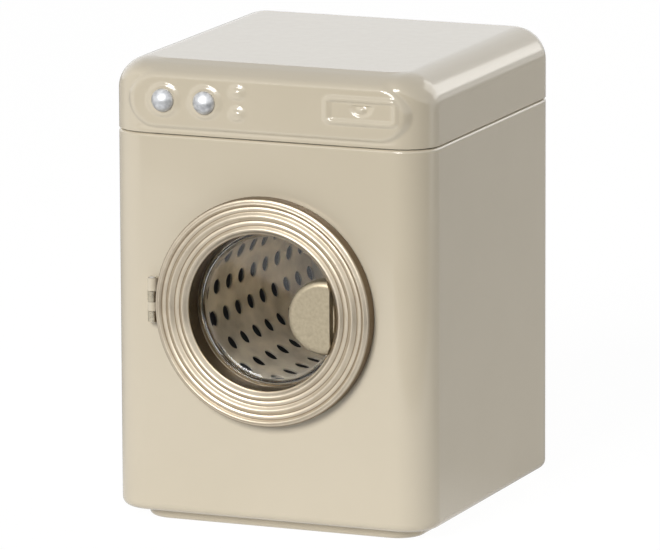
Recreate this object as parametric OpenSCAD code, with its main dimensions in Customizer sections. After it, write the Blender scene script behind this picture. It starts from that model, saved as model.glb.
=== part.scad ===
// Mouse-scale toy washing machine in pressed tinplate.
// Millimetres. +Z is up, the door looks along -Y, and the origin is in the middle
// of the plinth's underside.

/* [Body] */
// Width of the cabinet and lid
body_w = 80; // [78:0.5:84]
// Depth of the cabinet and lid, front sheet to back sheet
body_d = 83.4; // [82:0.2:88]
// Height from the plinth's underside to the top of the lid
body_h = 110; // [108:0.5:114]
// Height of the lid with its seam
lid_h = 16.9; // [16:0.1:18]
// Radius of the four upright corners
corner_r = 8.5; // [7:0.5:10]
// Radius of the lid's top edge
lid_edge_r = 7.9; // [6.5:0.1:7.9]
// Radius of the cabinet's bottom edge
foot_edge_r = 2; // [1.5:0.1:2.4]
// Radius of the cabinet's rolled top edge
rim_edge_r = 1; // [0.8:0.1:1.4]
// Thickness of the painted tinplate
sheet = 0.6; // [0.5:0.05:0.7]
// Height of the seam between cabinet and lid
seam = 0.2; // [0.2:0.05:0.4]

/* [Plinth] */
// Height of the plinth under the cabinet
plinth_h = 2.8; // [2.6:0.2:6]
// How far the plinth is set back from the cabinet's walls
plinth_inset = 5.2; // [5:0.2:8]
// Radius of the plinth's bottom edge
plinth_edge_r = 1.2; // [1:0.1:2]
// Radius of the plinth's upright corners
plinth_corner_r = 6.8; // [5:0.2:9]

/* [Control panel] */
// Width of the raised panel's flat face
panel_w = 66.6; // [62:0.2:67]
// Height of the raised panel's flat face
panel_h = 10.9; // [10.5:0.1:11.2]
// Middle of the panel to the right of the middle of the machine
panel_x = 0.4; // [-0.5:0.1:0.5]
// How far the panel stands out of the lid's front
panel_out = 0.8; // [0.6:0.1:1]
// Corner radius of the panel
panel_r = 5.5; // [4.6:0.1:6]
// How far the left knob lies from the middle of the machine
knob_left_x = -25.4; // [-27:0.1:-24]
// How far the right knob lies from the middle of the machine
knob_right_x = -15; // [-16:0.1:-14]
// Radius of a knob's dome
knob_r = 2.7; // [2.4:0.1:3]
// Radius of a knob's shank
knob_shank_r = 1.2; // [1:0.1:1.4]
// Width of the embossed soap drawer
drawer_w = 18.9; // [17:0.1:20]
// Height of the embossed soap drawer
drawer_h = 7.2; // [6.6:0.1:7.4]

/* [Door] */
// Height of the middle of the door and drum
door_z = 53; // [52:0.5:54]
// Outside radius of the door ring at its base
ring_r = 27; // [26.6:0.1:27.2]
// Inside radius of the door ring's throat
throat_r = 18.5; // [18.2:0.1:18.6]
// How far the ring's grooves stand in front of the cabinet
ring_out = 3.3; // [3.1:0.1:3.6]
// Depth of the window bowl behind the cabinet's front
bowl_depth = 5.6; // [5.4:0.1:10]
// Radius of the half-moon handle
handle_r = 8.8; // [8:0.1:9.4]
// Middle of the half-moon to the right of the door's middle
handle_x = 15.3; // [14.8:0.1:15.8]

/* [Hinge] */
// Distance of the hinge pin to the left of the door's middle
hinge_x = 28.2; // [28.2:0.1:28.6]
// Distance of the hinge pin in front of the cabinet
hinge_out = 1.5; // [1.5:0.05:1.6]
// Radius of the hinge barrel
barrel_r = 1.2; // [1.15:0.05:1.25]
// Radius of the hinge pin
pin_r = 0.55; // [0.5:0.05:0.6]

/* [Drum] */
// Inside radius of the drum
drum_r = 20; // [20:0.1:20.4]
// Thickness of the drum's sheet
drum_sheet = 0.5; // [0.4:0.05:0.6]
// Radius of a hole in the drum
hole_r = 1.75; // [1.4:0.05:1.8]
// Rows of holes round the drum, an even number
hole_rows = 18; // [16:2:18]
// Holes in one row
holes_per_row = 9; // [7:1:9]
// Spacing of the holes along a row
hole_pitch = 7.35; // [7:0.05:7.35]
// Radius of the drum's axle
axle_r = 1.5; // [1.3:0.1:1.8]

/* [Hidden] */
$fn = 64;

cream = "#CFC6B4";
gold = "#B9AE90";
steel = "#8A867C";
bright = "#D8D8DA";
clear = "#DDE6EA66";

y_face = -body_d / 2;                  // outside of the cabinet's front
arc_steps = 4;                         // flats in a quarter turn of a faceted edge
slice = 0.01;                          // thickness of one slice of a rounded shell
lap = 0.1;                             // how far joined shapes run into each other
seat = 0.05;                           // room between nested pieces of one body

plinth_plan_r = plinth_corner_r + plinth_inset;

// Heights
cabinet_top = body_h - lid_h - seam / 2;
lid_bottom = cabinet_top + seam;
panel_z = lid_bottom + 2.2 + panel_h / 2;
knob_z = lid_bottom + 8;

// Door, as radii and as distances in front of the cabinet's face (negative is behind it)
ring_gap = 0.35;                       // ring to cabinet face
throat_wall = 0.6;
throat_back = -2.3;                    // front of the window's flange
socket_r = throat_r + throat_wall;     // socket for the window's flange
socket_out_r = socket_r + 0.5;
socket_back = -4.5;
opening_r = socket_out_r + 0.6;        // the cabinet's drawn collar, with room to swing
opening_depth = 3.4;
hollow_in_r = opening_r + 0.7;         // hollow in the ring's back
hollow_out_r = ring_r - 1.6;
hollow_out = 2.4;
backing_out = 0.9;
backing_t = 0.5;
mid_r = (hollow_in_r + hollow_out_r) / 2;
screw_r = 0.6;
flange_t = 1;
bowl_r = throat_r - 0.5;
bowl_t = 1;
bowl_corner = 0.8;

// Hinge heights: the top knuckle is the cabinet's, and they alternate downwards
knuckles = [door_z + 6.2, door_z + 3.0, door_z + 0.5, door_z - 1.7, door_z - 4.3];
knuckle_gap = 0.1;
leaf_t = 0.5;
rivet_r = 0.5;
rivet_head_r = 0.9;
rivet_head_h = 0.35;
rivet_fit = 0.02;                      // room round a rivet's shank
pin_fit = 0.04;
barrel_room = 0.4;
door_leaf_z = knuckles[4] + knuckle_gap;
door_leaf_h = knuckles[1] - knuckles[4] - 2 * knuckle_gap;

// Drum, as depths behind the cabinet's face
drum_front = 6;
drum_end = 76;
back_depth = 74.4;
hub_t = 1;
hub_depth = back_depth + drum_sheet + 0.1;
hub_r = 6.2;
hub_rivet_ring = 4.6;
first_hole = drum_front + 4.2;
first_row_turn = 177;                  // degrees
drum_joint_gap = 0.08;
drum_joints = [for (i = [0 : 5]) first_row_turn + (floor(i * hole_rows / 6) + 1.5) * 360 / hole_rows];
spacer_depth = hub_depth + hub_t + 0.05;
spacer_t = 0.75;
bush_depth = spacer_depth + spacer_t + 0.1;
bush_flange_t = 0.6;
bush_r = 2.6;
bush_flange_r = 3.4;
plate_depth = bush_depth + bush_flange_t;
plate_t = 0.8;
bush_end = body_d - 2.1;
clip_t = 0.5;
clip_depth = bush_end + 0.1;
axle_end = body_d - 1.1;
axle_fit = 0.06;
groove_r = axle_r - 0.35;
bracket_half_h = 24;
bracket_half_w = 9;
bracket_foot = 6;
back_inside = body_d - sheet;

// ---------------------------------------------------------------- shared shapes

// Points of one rounded corner of a rectangle
function corner(cx, cy, r, start) =
    [for (i = [0 : arc_steps]) let (a = start + 90 * i / arc_steps) [cx + r * cos(a), cy + r * sin(a)]];

// Outline of a rectangle of w by d with corners of radius r
function rounded(w, d, r) = concat(
    corner(w / 2 - r, d / 2 - r, r, 0), corner(-w / 2 + r, d / 2 - r, r, 90),
    corner(-w / 2 + r, -d / 2 + r, r, 180), corner(w / 2 - r, -d / 2 + r, r, 270));

// Outline of the body, moved in from its walls by inset. plan_r is the corner radius at the walls.
function body_outline(inset, plan_r) =
    rounded(body_w - 2 * inset, body_d - 2 * inset, max(plan_r - inset, 0.8));

// A plate with the body's outline
module body_plate(inset, z, h, plan_r = corner_r) {
    translate([0, 0, z]) linear_extrude(h) polygon(body_outline(inset, plan_r));
}

// A band that follows the body's walls
module body_band(outer, inner, z, h) {
    difference() {
        body_plate(outer, z, h);
        body_plate(inner, z - lap, h + 2 * lap);
    }
}

// A solid with the body's outline, and edges of radius low_r and high_r
module body_solid(inset, z0, z1, low_r, high_r, plan_r = corner_r) {
    angles = [for (i = [0 : arc_steps - 1]) 90 * i / arc_steps];
    hull() {
        body_plate(inset, z0 + low_r, z1 - high_r - z0 - low_r, plan_r);
        if (low_r > 0) for (a = angles)
            body_plate(inset + low_r * (1 - sin(a)), z0 + low_r * (1 - cos(a)), slice, plan_r);
        if (high_r > 0) for (a = angles)
            body_plate(inset + high_r * (1 - sin(a)), z1 - high_r * (1 - cos(a)) - slice, slice, plan_r);
    }
}

// Puts a shape on the front: its own +Z then points out of the cabinet's front
module on_front(x, z, out = 0) {
    translate([x, y_face - out, z]) rotate([90, 0, 0]) children();
}

// A ring about an axis that points out of the front, from out0 to out1
module front_ring(r_in, r_out, out0, out1) {
    translate([0, 0, out0]) difference() {
        cylinder(r = r_out, h = out1 - out0);
        translate([0, 0, -lap]) cylinder(r = r_in, h = out1 - out0 + 2 * lap);
    }
}

// A round post about an axis that points out of the front, from out0 to out1
module front_post(r, out0, out1) {
    translate([0, 0, out0]) cylinder(r = r, h = out1 - out0);
}

// Low dome with a flat base, on a post of its own radius
module dome(r, h) {
    ball = (r * r + h * h) / (2 * h);
    span = asin(r / ball);
    rotate_extrude() polygon(concat([[0, 0]],
        [for (i = [0 : 6]) let (a = span * (1 - i / 6)) [ball * sin(a), ball * cos(a) - ball + h]]));
}

// ---------------------------------------------------------------- cabinet

bracket_rivet_x = 5;
bracket_rivet_r = 0.8;
bracket_rivet_dz = bracket_half_h + bracket_foot / 2;
cabinet_rivet_x = -hinge_x + 4.7;
cabinet_rivets = [door_z + 0.4, door_z + 4.6];

module bracket_rivet_places() {
    for (x = [-1, 1] * bracket_rivet_x, z = [-1, 1] * bracket_rivet_dz)
        on_front(x, door_z + z) children();
}

module cabinet_rivet_places() {
    for (z = cabinet_rivets) on_front(cabinet_rivet_x, z) children();
}

module cabinet() {
    color(cream) {
        difference() {
            body_solid(0, plinth_h, cabinet_top, foot_edge_r, rim_edge_r);
            body_solid(sheet, plinth_h + sheet, cabinet_top + 6, foot_edge_r - sheet, 0.6);
            // opening in the bottom for the plinth
            body_plate(plinth_inset - seat, plinth_h - 1, 3, plinth_plan_r);
            on_front(0, door_z) front_post(opening_r, -sheet - 1, 1);
            cabinet_slots();
            cabinet_rivet_places() front_post(rivet_r + rivet_fit, -sheet - 1, 1);
            bracket_rivet_places() front_post(bracket_rivet_r + rivet_fit, -body_d - 1, -back_inside + 1);
        }
        on_front(0, door_z) front_ring(opening_r, opening_r + sheet, -opening_depth, -lap);
    }
}

// Slots that the painted hinge knuckles come through
module cabinet_slots() {
    room = 0.15;
    for (i = [0, 2])
        translate([-hinge_x - barrel_r - room, y_face - 1, strap_z(i) - room])
            cube([leaf_t + 2 * room, sheet + 2, strap_h(i) + 2 * room]);
}

module plinth() {
    wall = plinth_inset + seat;
    flange_z = plinth_h + sheet + seat;
    foot_r = plinth_edge_r;
    color(cream) {
        difference() {
            union() {
                body_solid(wall, 0, flange_z + sheet, foot_r, 0, plinth_plan_r);
                body_plate(wall - 2, flange_z, sheet, plinth_plan_r);
            }
            body_solid(wall + sheet, sheet, flange_z + 3, foot_r - sheet, 0, plinth_plan_r);
        }
    }
}

// Joggled band: its bead lies in the seam and carries the lid
module collar() {
    low_in = sheet + seat;
    high_in = sheet + 0.3;
    color(steel) {
        body_band(low_in, low_in + 0.5, cabinet_top - 8, 8);
        body_band(0.4, high_in + 0.5, cabinet_top + 0.02, seam - 0.04);
        body_band(low_in, high_in + 0.5, cabinet_top - 0.8, 0.82);
        body_band(high_in, high_in + 0.5, cabinet_top + lap, 6);
    }
}

// ---------------------------------------------------------------- hinge

// Bottom and height of the strap that joins knuckle i to its leaf
function strap_z(i) = knuckles[i + 1] + knuckle_gap;
function strap_h(i) = knuckles[i] - knuckles[i + 1] - 2 * knuckle_gap;

// One knuckle of the barrel, between the heights of steps i and i + 1
module knuckle(i, bore_r) {
    h = strap_h(i) + knuckle_gap;
    translate([-hinge_x, y_face - hinge_out, strap_z(i) - knuckle_gap / 2]) difference() {
        cylinder(r = barrel_r, h = h);
        translate([0, 0, -lap]) cylinder(r = bore_r, h = h + 2 * lap);
    }
}

module knuckle_bores(bore_r) {
    translate([-hinge_x, y_face - hinge_out, knuckles[4] - 1])
        cylinder(r = bore_r, h = knuckles[0] - knuckles[4] + 2);
}

module hinge_leaf_cabinet() {
    plate_x = -hinge_x - barrel_r;
    plate_w = 7.6;
    reach = hinge_out + sheet + seat + leaf_t;
    color(cream) difference() {
        union() {
            for (i = [0, 2]) {
                knuckle(i, pin_r);
                translate([plate_x, y_face - hinge_out, strap_z(i)])
                    cube([leaf_t, reach, strap_h(i)]);
            }
            translate([plate_x, y_face + sheet + seat, knuckles[3]])
                cube([plate_w, leaf_t, knuckles[0] - knuckles[3]]);
        }
        knuckle_bores(pin_r + pin_fit / 2);
        cabinet_rivet_places() front_post(rivet_r + rivet_fit, -3, 0);
    }
}

module hinge_pin() {
    head_r = 0.9;
    color(bright) translate([-hinge_x, y_face - hinge_out, 0]) {
        translate([0, 0, knuckles[4]]) cylinder(r = pin_r, h = knuckles[0] - knuckles[4]);
        translate([0, 0, knuckles[0]]) dome(head_r, 0.4);
        translate([0, 0, knuckles[4]]) rotate([180, 0, 0]) dome(head_r, 0.4);
    }
}

module hinge_rivets_cabinet() {
    leaf_back = -sheet - seat - leaf_t;
    color(bright) cabinet_rivet_places() {
        front_post(rivet_r, leaf_back - lap, seat);
        translate([0, 0, rivet_fit]) dome(rivet_head_r, rivet_head_h);
        translate([0, 0, leaf_back - rivet_fit]) rotate([180, 0, 0]) dome(rivet_head_r, rivet_head_h);
    }
}

door_rivets = [door_z - 2.6, door_z + 1.2];
door_rivet_x = -hinge_x + 5.1;

module door_rivet_places() {
    for (z = door_rivets) on_front(door_rivet_x, z) children();
}

module hinge_leaf_door() {
    strap_w = 3;
    plate_w = 5.4;
    leaf_y = y_face - backing_out - leaf_t;
    color(steel) difference() {
        union() {
            for (i = [1, 3]) {
                knuckle(i, pin_r);
                translate([-hinge_x, leaf_y, strap_z(i)]) cube([strap_w, leaf_t, strap_h(i)]);
            }
            translate([-hinge_x + strap_w / 2, leaf_y, door_leaf_z])
                cube([plate_w, leaf_t, door_leaf_h]);
        }
        knuckle_bores(pin_r + pin_fit);
        door_rivet_places() front_post(rivet_r + rivet_fit, 0, 3);
    }
}

module hinge_rivets_door() {
    color(bright) door_rivet_places() {
        front_post(rivet_r, backing_out - seat, hollow_out + 0.3);
        translate([0, 0, backing_out - rivet_fit]) rotate([180, 0, 0]) dome(rivet_head_r, rivet_head_h);
    }
}

// ---------------------------------------------------------------- door

// Crests and grooves of the ring's front, from the outside in: [radius, height above ring_out].
// Two low beads lie between three high ones.
swell = [
    [ring_r - 0.5, 0], [ring_r - 1.2, 0.6], [ring_r - 1.85, 0.08], [ring_r - 2.45, 0.2],
    [ring_r - 3, 0.05], [ring_r - 4.05, 0.8], [ring_r - 5.1, 0.08], [ring_r - 5.75, 0.2],
    [ring_r - 6.3, 0.05], [ring_r - 7.2, 0.65], [throat_r, -0.4]
];
swell_steps = 4;

// Profile of the ring: radius, and distance in front of the cabinet
function swell_points() = [for (i = [1 : len(swell) - 1], k = [1 : swell_steps])
    let (t = k / swell_steps, rise = (1 - cos(180 * t)) / 2)
    [swell[i - 1][0] * (1 - t) + swell[i][0] * t,
     ring_out + swell[i - 1][1] * (1 - rise) + swell[i][1] * rise]];
function shoulder_points() =
    [for (a = [0 : 22.5 : 90]) [ring_r - 0.5 + 0.5 * cos(a), ring_out - 0.8 + 0.8 * sin(a)]];

module door_ring_shape() {
    rotate_extrude() polygon(concat(
        [[ring_r, ring_gap]], shoulder_points(), swell_points(),
        [[throat_r, throat_back], [socket_r, throat_back],
         [socket_r, socket_back], [socket_out_r, socket_back], [socket_out_r, ring_gap],
         [hollow_in_r, ring_gap], [hollow_in_r, hollow_out],
         [hollow_out_r, hollow_out], [hollow_out_r, ring_gap]]));
}

screw_angles = [45, 135, 225, 315];

module door_screw_places() {
    for (a = screw_angles) rotate([0, 0, a]) translate([mid_r, 0, 0]) children();
}

module door_ring() {
    backing_top = backing_out + backing_t;
    color(gold) difference() {
        union() {
            on_front(0, door_z) {
                door_ring_shape();
                door_screw_places() front_post(1.4, backing_top, hollow_out + lap);
            }
            // pad that the hinge leaf lies on
            translate([-hinge_x + 2.9, y_face - hollow_out - lap, door_leaf_z])
                cube([4, hollow_out + lap - backing_top, door_leaf_h]);
        }
        on_front(0, door_z) door_screw_places() front_post(screw_r + rivet_fit, 0, hollow_out + 0.2);
        door_rivet_places() front_post(rivet_r + rivet_fit, 0, hollow_out + 0.35);
        // room for the hinge barrel, and the slot for the leaf
        translate([-hinge_x, y_face - hinge_out, knuckles[4] - 1])
            cylinder(r = barrel_r + barrel_room, h = knuckles[0] - knuckles[4] + 2);
        translate([-hinge_x, y_face - backing_top - seat, knuckles[4]])
            cube([3.2, backing_top + seat, knuckles[1] - knuckles[4]]);
    }
}

module door_window() {
    flange_back = throat_back - seat - flange_t;
    bowl_end_r = bowl_r - bowl_corner;
    inner_r = bowl_end_r - bowl_t;
    inner_corner = bowl_corner - 0.2;
    bottom = -bowl_depth + bowl_t;
    color(clear) on_front(0, door_z) rotate_extrude() polygon([
        [0, bottom], [inner_r - inner_corner, bottom], [inner_r, bottom + inner_corner],
        [bowl_r - bowl_t, throat_back - seat], [socket_r - seat, throat_back - seat],
        [socket_r - seat, flange_back], [bowl_r, flange_back],
        [bowl_end_r, -bowl_depth + bowl_corner], [bowl_end_r - bowl_corner, -bowl_depth],
        [0, -bowl_depth]]);
}

module window_retainer() {
    color(gold) on_front(0, door_z)
        front_ring(bowl_r + seat, socket_r - seat / 2, socket_back, throat_back - 2 * seat - flange_t);
}

// Round plate with a soft front edge, clipped by the ring's throat and scooped for a finger
module door_handle() {
    front = ring_out + 0.5;
    back = -0.6;
    edge_r = 1.5;
    edge = [for (a = [0 : 15 : 90]) [cos(a) - 1, sin(a) - 1] * edge_r + [handle_r, front]];
    scoop_r = 2.75;
    scoop_x = throat_r + 0.8;
    scoop_out = ring_out + 0.1;
    color(gold) difference() {
        intersection() {
            on_front(handle_x, door_z) rotate_extrude()
                polygon(concat([[0, back], [handle_r, back]], edge, [[0, front]]));
            on_front(0, door_z) front_post(throat_r - rivet_fit, back - 1, front + 1);
        }
        translate([scoop_x, y_face - scoop_out, door_z - 15]) cylinder(r = scoop_r, h = 30);
    }
}

module door_backing() {
    backing_top = backing_out + backing_t - seat;
    color(steel) difference() {
        on_front(0, door_z) difference() {
            front_ring(hollow_in_r + 0.1, hollow_out_r - 0.1, backing_out, backing_top);
            door_screw_places() front_post(screw_r + seat, 0, 3);
        }
        translate([-hinge_x - 1, y_face - 5, knuckles[4] - 0.3])
            cube([8.4, 10, knuckles[1] - knuckles[4] + 0.6]);
    }
}

module door_screws() {
    color(bright) on_front(0, door_z) door_screw_places() difference() {
        union() {
            front_post(screw_r, backing_out - lap, hollow_out + lap);
            translate([0, 0, backing_out - rivet_fit]) rotate([180, 0, 0]) dome(1.15, 0.45);
        }
        // driver slot
        translate([-1.5, -0.15, backing_out - 0.6]) cube([3, 0.3, 0.38]);
    }
}

module door_magnet() {
    color(bright) on_front(mid_r, door_z) front_post(1.8, backing_out + backing_t, hollow_out - seat);
}

// ---------------------------------------------------------------- lid

// A plate with the panel's outline, wider than its flat face by grow and higher by rise,
// with its front at out and t thick
module panel_plate(grow, rise, out, t) {
    w = panel_w + 2 * grow;
    h = panel_h + 2 * grow + rise;
    on_front(panel_x, panel_z + rise / 2, out - t) linear_extrude(t)
        polygon(rounded(w, h, min(panel_r + grow, h / 2 - 0.1)));
}

// The panel's soft edge, from its face backwards: [grow, rise, distance behind the face]
panel_edge = [[0, 0, 0], [0.5, 0.5, 0.25], [0.8, 1.1, 0.6], [0.9, 1.2, 3.5]];

// The raised panel as a solid that runs back into the lid, moved in by inset
module panel_solid(inset) {
    hull() for (step = panel_edge)
        panel_plate(step[0] - inset, step[1], panel_out - step[2] - inset, slice);
}

knobs = [knob_left_x, knob_right_x];
knob_boss_r = 4.3;
boss_out = 0.4;
knob_face = panel_out + boss_out + 0.06;
knob_shank = knob_face + sheet + boss_out + 1.9;
knob_groove = -knob_shank + 0.4;       // front of the clip's groove, from the knob's underside
button_x = -6.9;
button_z = [knob_z - 2.2, knob_z + 2.8];
button_r = 2;
button_out = 0.3;
drawer_x = 24.05;
drawer_z = panel_z + 0.65;
emboss = 0.45;

// Round boss pressed out of the panel, with a bevelled rim
module boss(x, z, r, out) {
    on_front(x, z, panel_out - lap) rotate_extrude()
        polygon([[0, 0], [r, 0], [r, lap], [r - out * 0.9, lap + out], [0, lap + out]]);
}

module drawer_front() {
    frame = 1.4;
    on_front(drawer_x, drawer_z, panel_out - lap) {
        difference() {
            linear_extrude(lap + emboss) polygon(rounded(drawer_w, drawer_h, 2));
            translate([0, 0, -1]) linear_extrude(4)
                polygon(rounded(drawer_w - 2 * frame, drawer_h - 2 * frame, 0.8));
        }
        // finger pull: a half-round lip with a small knob in its middle
        translate([0, 0.9, 0]) intersection() {
            cylinder(r = 2.5, h = lap + emboss * 0.8);
            translate([-3, -3, 0]) cube([6, 3, 2]);
        }
    }
}

module lid() {
    color(cream) {
        difference() {
            union() {
                body_solid(0, lid_bottom, body_h, 0.3, lid_edge_r);
                panel_solid(0);
                for (x = knobs) boss(x, knob_z, knob_boss_r, boss_out);
                for (z = button_z) boss(button_x, z, button_r, button_out);
                drawer_front();
            }
            body_solid(sheet, lid_bottom - 3, body_h - sheet, 0, lid_edge_r - sheet);
            panel_solid(sheet);
            for (x = knobs) on_front(x, knob_z) front_post(knob_shank_r + 0.06, -5, 5);
        }
        for (z = button_z) on_front(button_x, z, panel_out + button_out - seat) dome(0.7, button_out);
    }
}

// Polished dome with a shank that goes through the lid
module knob(x) {
    skirt = 0.4;
    color(bright) on_front(x, knob_z, knob_face) difference() {
        union() {
            translate([0, 0, skirt]) dome(knob_r, 1.7);
            cylinder(r = knob_r, h = skirt + rivet_fit);
            translate([0, 0, -knob_shank]) cylinder(r = knob_shank_r, h = knob_shank + lap);
        }
        front_ring(knob_shank_r - 0.25, knob_shank_r + 1, knob_groove, knob_groove + 0.5);
    }
}

module knob_left() { knob(knob_left_x); }
module knob_right() { knob(knob_right_x); }

// Push-on clip in the shank's groove, behind the lid's sheet
module knob_clip(x) {
    color(steel) on_front(x, knob_z, knob_face + knob_groove + 0.03) difference() {
        front_ring(knob_shank_r - 0.22, 2.4, 0, 0.44);
        translate([-0.35, 0, -1]) cube([0.7, 3, 3]);
    }
}

module knob_clip_left() { knob_clip(knob_left_x); }
module knob_clip_right() { knob_clip(knob_right_x); }

// ---------------------------------------------------------------- drum

module drum_holes() {
    for (row = [0 : hole_rows - 1], i = [0 : holes_per_row - 1]) {
        depth = first_hole + (row % 2) * hole_pitch / 2 + i * hole_pitch;
        on_front(0, door_z, -depth) rotate([0, 0, first_row_turn + row * 360 / hole_rows])
            rotate([0, 90, 0]) translate([0, 0, drum_r - 2]) cylinder(r = hole_r, h = 5);
    }
}

// Six curved panels that butt along their edges. The hoop and the back's flange hold them.
module drum_wall() {
    color(steel) difference() {
        on_front(0, door_z) rotate([0, 0, drum_joints[0]])
            front_ring(drum_r, drum_r + drum_sheet, -drum_end, -drum_front);
        drum_holes();
        for (joint = drum_joints) on_front(0, door_z) rotate([0, 0, joint])
            translate([drum_r - 1, -drum_joint_gap / 2, -drum_end - 1])
                cube([drum_sheet + 2, drum_joint_gap, drum_end - drum_front + 2]);
    }
}

// Rolled hoop that grips the front edge of the drum
module drum_hoop() {
    roll = 0.75;
    fit = 0.03;
    mid = drum_r + drum_sheet / 2;
    color(steel) on_front(0, door_z) difference() {
        rotate_extrude() translate([mid, -drum_front - seat]) circle(r = roll);
        front_ring(drum_r - fit, drum_r + drum_sheet + fit, -drum_front - 2, -drum_front + fit);
    }
}

module drum_back() {
    rim = drum_r - 0.03;
    color(steel) on_front(0, door_z) difference() {
        union() {
            front_post(rim, -back_depth - drum_sheet, -back_depth);
            front_ring(rim - drum_sheet, rim, -drum_end + 0.1, -back_depth - lap);
        }
        front_post(axle_r, -drum_end - 1, -back_depth + 1);
        hub_rivet_places() front_post(rivet_r + rivet_fit, -drum_end - 1, -back_depth + 1);
    }
}

module hub_rivet_places() {
    for (a = [45 : 90 : 315]) rotate([0, 0, a]) translate([hub_rivet_ring, 0, 0]) children();
}

module drum_hub() {
    color(steel) on_front(0, door_z) difference() {
        front_post(hub_r, -hub_depth - hub_t, -hub_depth);
        front_post(axle_r, -drum_end - 5, -back_depth + 1);
        hub_rivet_places() front_post(rivet_r + rivet_fit, -drum_end - 5, -back_depth + 1);
    }
}

module hub_rivets() {
    hub_back = -hub_depth - hub_t;
    color(bright) on_front(0, door_z) hub_rivet_places() {
        front_post(rivet_r, hub_back - seat, -back_depth + seat);
        translate([0, 0, -back_depth + rivet_fit]) dome(rivet_head_r, rivet_head_h);
        translate([0, 0, hub_back - rivet_fit]) rotate([180, 0, 0]) dome(rivet_head_r, rivet_head_h);
    }
}

module drum_axle() {
    color(bright) on_front(0, door_z) difference() {
        union() {
            front_post(axle_r, -axle_end, -back_depth + seat);
            translate([0, 0, -back_depth + rivet_fit]) dome(2.7, 1);
        }
        front_ring(groove_r, axle_r + 1, -clip_depth - clip_t, -clip_depth);
    }
}

module axle_spacer() {
    color(bright) on_front(0, door_z)
        front_ring(axle_r + axle_fit / 2, bush_flange_r - 0.2, -spacer_depth - spacer_t, -spacer_depth);
}

module axle_clip() {
    color(steel) on_front(0, door_z) difference() {
        front_ring(groove_r + 0.02, 3, -clip_depth - clip_t + 0.03, -clip_depth - 0.03);
        translate([-0.6, 0, -body_d]) cube([1.2, 4, body_d]);
    }
}

module axle_bush() {
    color("#E8E4DA") on_front(0, door_z) difference() {
        union() {
            front_post(bush_r, -bush_end, -bush_depth);
            front_post(bush_flange_r, -bush_depth - bush_flange_t, -bush_depth);
        }
        front_post(axle_r + axle_fit, -body_d, -bush_depth + 1);
    }
}

// Hat section: a plate that stands off the back panel on two legs with feet
module drum_bracket() {
    reach = back_inside - plate_depth - rivet_fit;
    color(steel) difference() {
        on_front(0, door_z) union() {
            translate([-bracket_half_w, -bracket_half_h, -plate_depth - plate_t])
                cube([2 * bracket_half_w, 2 * bracket_half_h, plate_t]);
            for (side = [0, 1]) mirror([0, side, 0]) {
                translate([-bracket_half_w, bracket_half_h - plate_t, -plate_depth - reach])
                    cube([2 * bracket_half_w, plate_t, reach]);
                translate([-bracket_half_w, bracket_half_h - plate_t, -plate_depth - reach])
                    cube([2 * bracket_half_w, bracket_foot + plate_t, plate_t]);
            }
        }
        on_front(0, door_z) front_post(bush_r + rivet_fit, -body_d, -plate_depth + 1);
        bracket_rivet_places() front_post(bracket_rivet_r + rivet_fit, -body_d - 1, -plate_depth - 1);
    }
}

module bracket_rivets() {
    foot_front = back_inside - rivet_fit - plate_t;
    head_r = 1.5;
    head_h = 0.45;
    color(bright) bracket_rivet_places() {
        front_post(bracket_rivet_r, -body_d - seat, -foot_front + seat);
        translate([0, 0, -body_d - rivet_fit]) rotate([180, 0, 0]) dome(head_r, head_h);
        translate([0, 0, -foot_front + rivet_fit]) dome(head_r, head_h);
    }
}

cabinet();
plinth();
collar();
hinge_leaf_cabinet();
hinge_pin();
hinge_rivets_cabinet();
drum_bracket();
bracket_rivets();
axle_bush();
lid();
knob_left();
knob_clip_left();
knob_right();
knob_clip_right();
door_ring();
door_window();
window_retainer();
door_handle();
door_backing();
door_screws();
door_magnet();
hinge_leaf_door();
hinge_rivets_door();
drum_wall();
drum_hoop();
drum_back();
drum_hub();
hub_rivets();
drum_axle();
axle_spacer();
axle_clip();
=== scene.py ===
import math

import bmesh
import bpy
from mathutils import Matrix, Vector


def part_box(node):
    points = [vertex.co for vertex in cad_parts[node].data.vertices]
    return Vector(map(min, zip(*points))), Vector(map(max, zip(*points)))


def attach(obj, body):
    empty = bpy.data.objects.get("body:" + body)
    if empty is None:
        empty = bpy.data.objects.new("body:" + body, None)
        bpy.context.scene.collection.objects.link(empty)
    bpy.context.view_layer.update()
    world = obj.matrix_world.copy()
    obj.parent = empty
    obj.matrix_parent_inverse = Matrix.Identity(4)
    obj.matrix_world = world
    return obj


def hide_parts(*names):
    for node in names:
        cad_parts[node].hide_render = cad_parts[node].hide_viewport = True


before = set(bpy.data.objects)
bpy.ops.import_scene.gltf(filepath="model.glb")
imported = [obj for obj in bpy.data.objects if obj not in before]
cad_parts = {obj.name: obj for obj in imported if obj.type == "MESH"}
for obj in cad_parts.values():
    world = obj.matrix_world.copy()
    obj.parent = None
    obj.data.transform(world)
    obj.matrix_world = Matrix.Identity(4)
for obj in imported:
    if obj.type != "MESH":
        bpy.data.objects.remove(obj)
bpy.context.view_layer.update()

# ---------------------------------------------------------------- camera
# A long lens on the machine's right front, a little above the lid and about
# 1.8 m away, so that its upright edges stay nearly parallel.
mm = 0.001
camera_azimuth = math.radians(22.485)
camera_elevation = math.radians(11.326)
camera_roll = math.radians(-0.236)
camera_distance = 1787.4 * mm
camera_target = Vector((-1.37, 0.0, 53.6)) * mm
lens_length = 411.63
film_width = 36.0


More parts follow.
